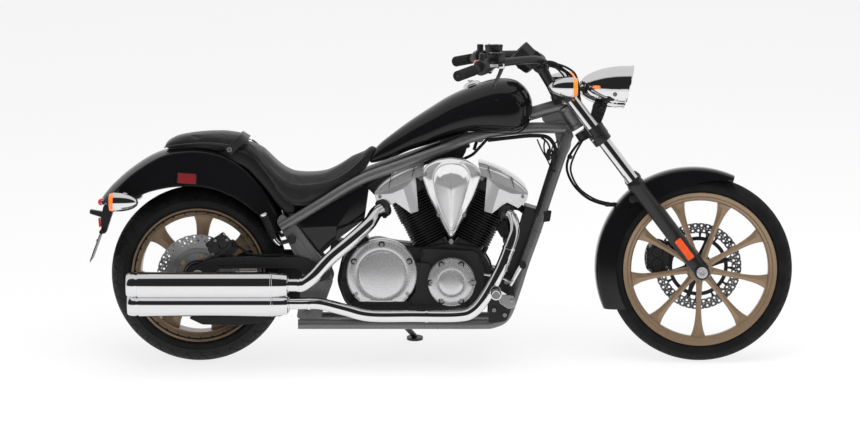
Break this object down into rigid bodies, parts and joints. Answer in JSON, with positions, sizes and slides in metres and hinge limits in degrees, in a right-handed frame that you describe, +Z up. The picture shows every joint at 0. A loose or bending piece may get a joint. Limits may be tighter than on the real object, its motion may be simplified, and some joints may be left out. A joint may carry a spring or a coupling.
{
  "type": "chopper motorcycle",
  "caption": "Long chopper motorcycle leaning on its side stand, with turning wheels, steering fork and folding stand.",
  "frame": {"origin": "on the ground under the middle of the bounding box, side stand down", "axes": "+X forward, +Y to the rider's left, +Z up"},
  "size_m": [2.534, 0.923, 1.1639],
  "materials": {
    "frame": "satin metallic",
    "paint_black": "gloss",
    "satin_black": "satin",
    "satin_silver": "satin",
    "chrome": "polished",
    "bronze": "satin metallic",
    "disc_steel": "brushed",
    "tyre_rubber": "matt",
    "black_rubber": "matt",
    "seat_leather": "satin grain",
    "red_lens": "gloss",
    "clear_lens": "clear",
    "amber_lens": "gloss"
  },
  "bodies": {
    "chassis": {"steering_head": "frame", "frame_backbone": "frame", "frame_upper_rails": "frame", "frame_downtubes": "frame", "frame_lower_rails": "frame", "pivot_plates": "frame", "battery_box": "satin_black", "side_covers": "paint_black", "swingarm": "satin_black", "final_drive": "satin_silver", "rear_axle": "satin_silver", "rear_caliper": "satin_black", "fuel_tank": "paint_black", "fuel_cap": "chrome", "seat": "seat_leather", "pillion_seat": "seat_leather", "rear_fender": "paint_black", "tail_light": "red_lens", "plate_holder": "satin_black", "rear_turn_signals": "chrome", "crankcase": "satin_black", "clutch_cover": "satin_silver", "timing_cover": "satin_silver", "alternator_cover": "satin_silver", "cylinder_front": "satin_black", "cylinder_rear": "satin_black", "rocker_cover_front": "chrome", "rocker_cover_rear": "chrome", "air_cleaner": "chrome", "throttle_body": "satin_black", "radiator": "satin_black", "front_header": "chrome", "rear_header": "chrome", "mufflers": "chrome", "forward_controls": "satin_silver", "passenger_pegs": "satin_black", "wiring_loom": "black_rubber", "stand_bracket": "frame"},
    "steering": {"triple_clamps": "satin_black", "fork_tubes": "chrome", "fork_sliders": "satin_black", "front_axle": "satin_silver", "front_fender": "paint_black", "front_caliper": "satin_black", "handlebar": "satin_black", "grips": "black_rubber", "hand_controls": "satin_black", "instrument_pod": "satin_black", "headlight": "chrome", "headlight_lens": "clear_lens", "front_turn_signals": "chrome", "control_cables": "black_rubber"},
    "front_wheel": {"front_rim": "bronze", "front_tyre": "tyre_rubber", "front_disc": "disc_steel"},
    "rear_wheel": {"rear_rim": "bronze", "rear_tyre": "tyre_rubber", "rear_disc": "disc_steel"},
    "side_stand": {"side_stand": "satin_black"}
  },
  "joints": [
    {"name": "steering", "type": "hinge", "parent": "chassis", "child": "steering", "pos_m": [0.47199, -0.01625, 0.8741], "axis": [-0.5299, 0.1327, 0.8376], "range_deg": [-30, 30]},
    {"name": "front_wheel_spin", "type": "hinge", "parent": "steering", "child": "front_wheel", "pos_m": [0.933, -0.10235, 0.3305], "axis": [0, 0.9877, -0.1564], "continuous": true},
    {"name": "rear_wheel_spin", "type": "hinge", "parent": "chassis", "child": "rear_wheel", "pos_m": [-0.872, -0.10479, 0.31513], "axis": [0, 0.9877, -0.1564], "continuous": true},
    {"name": "side_stand_swing", "type": "hinge", "parent": "chassis", "child": "side_stand", "pos_m": [-0.172, 0.01889, 0.12437], "axis": [0.1384, 0.6877, 0.7127], "range_deg": [0, 108]}
  ]
}
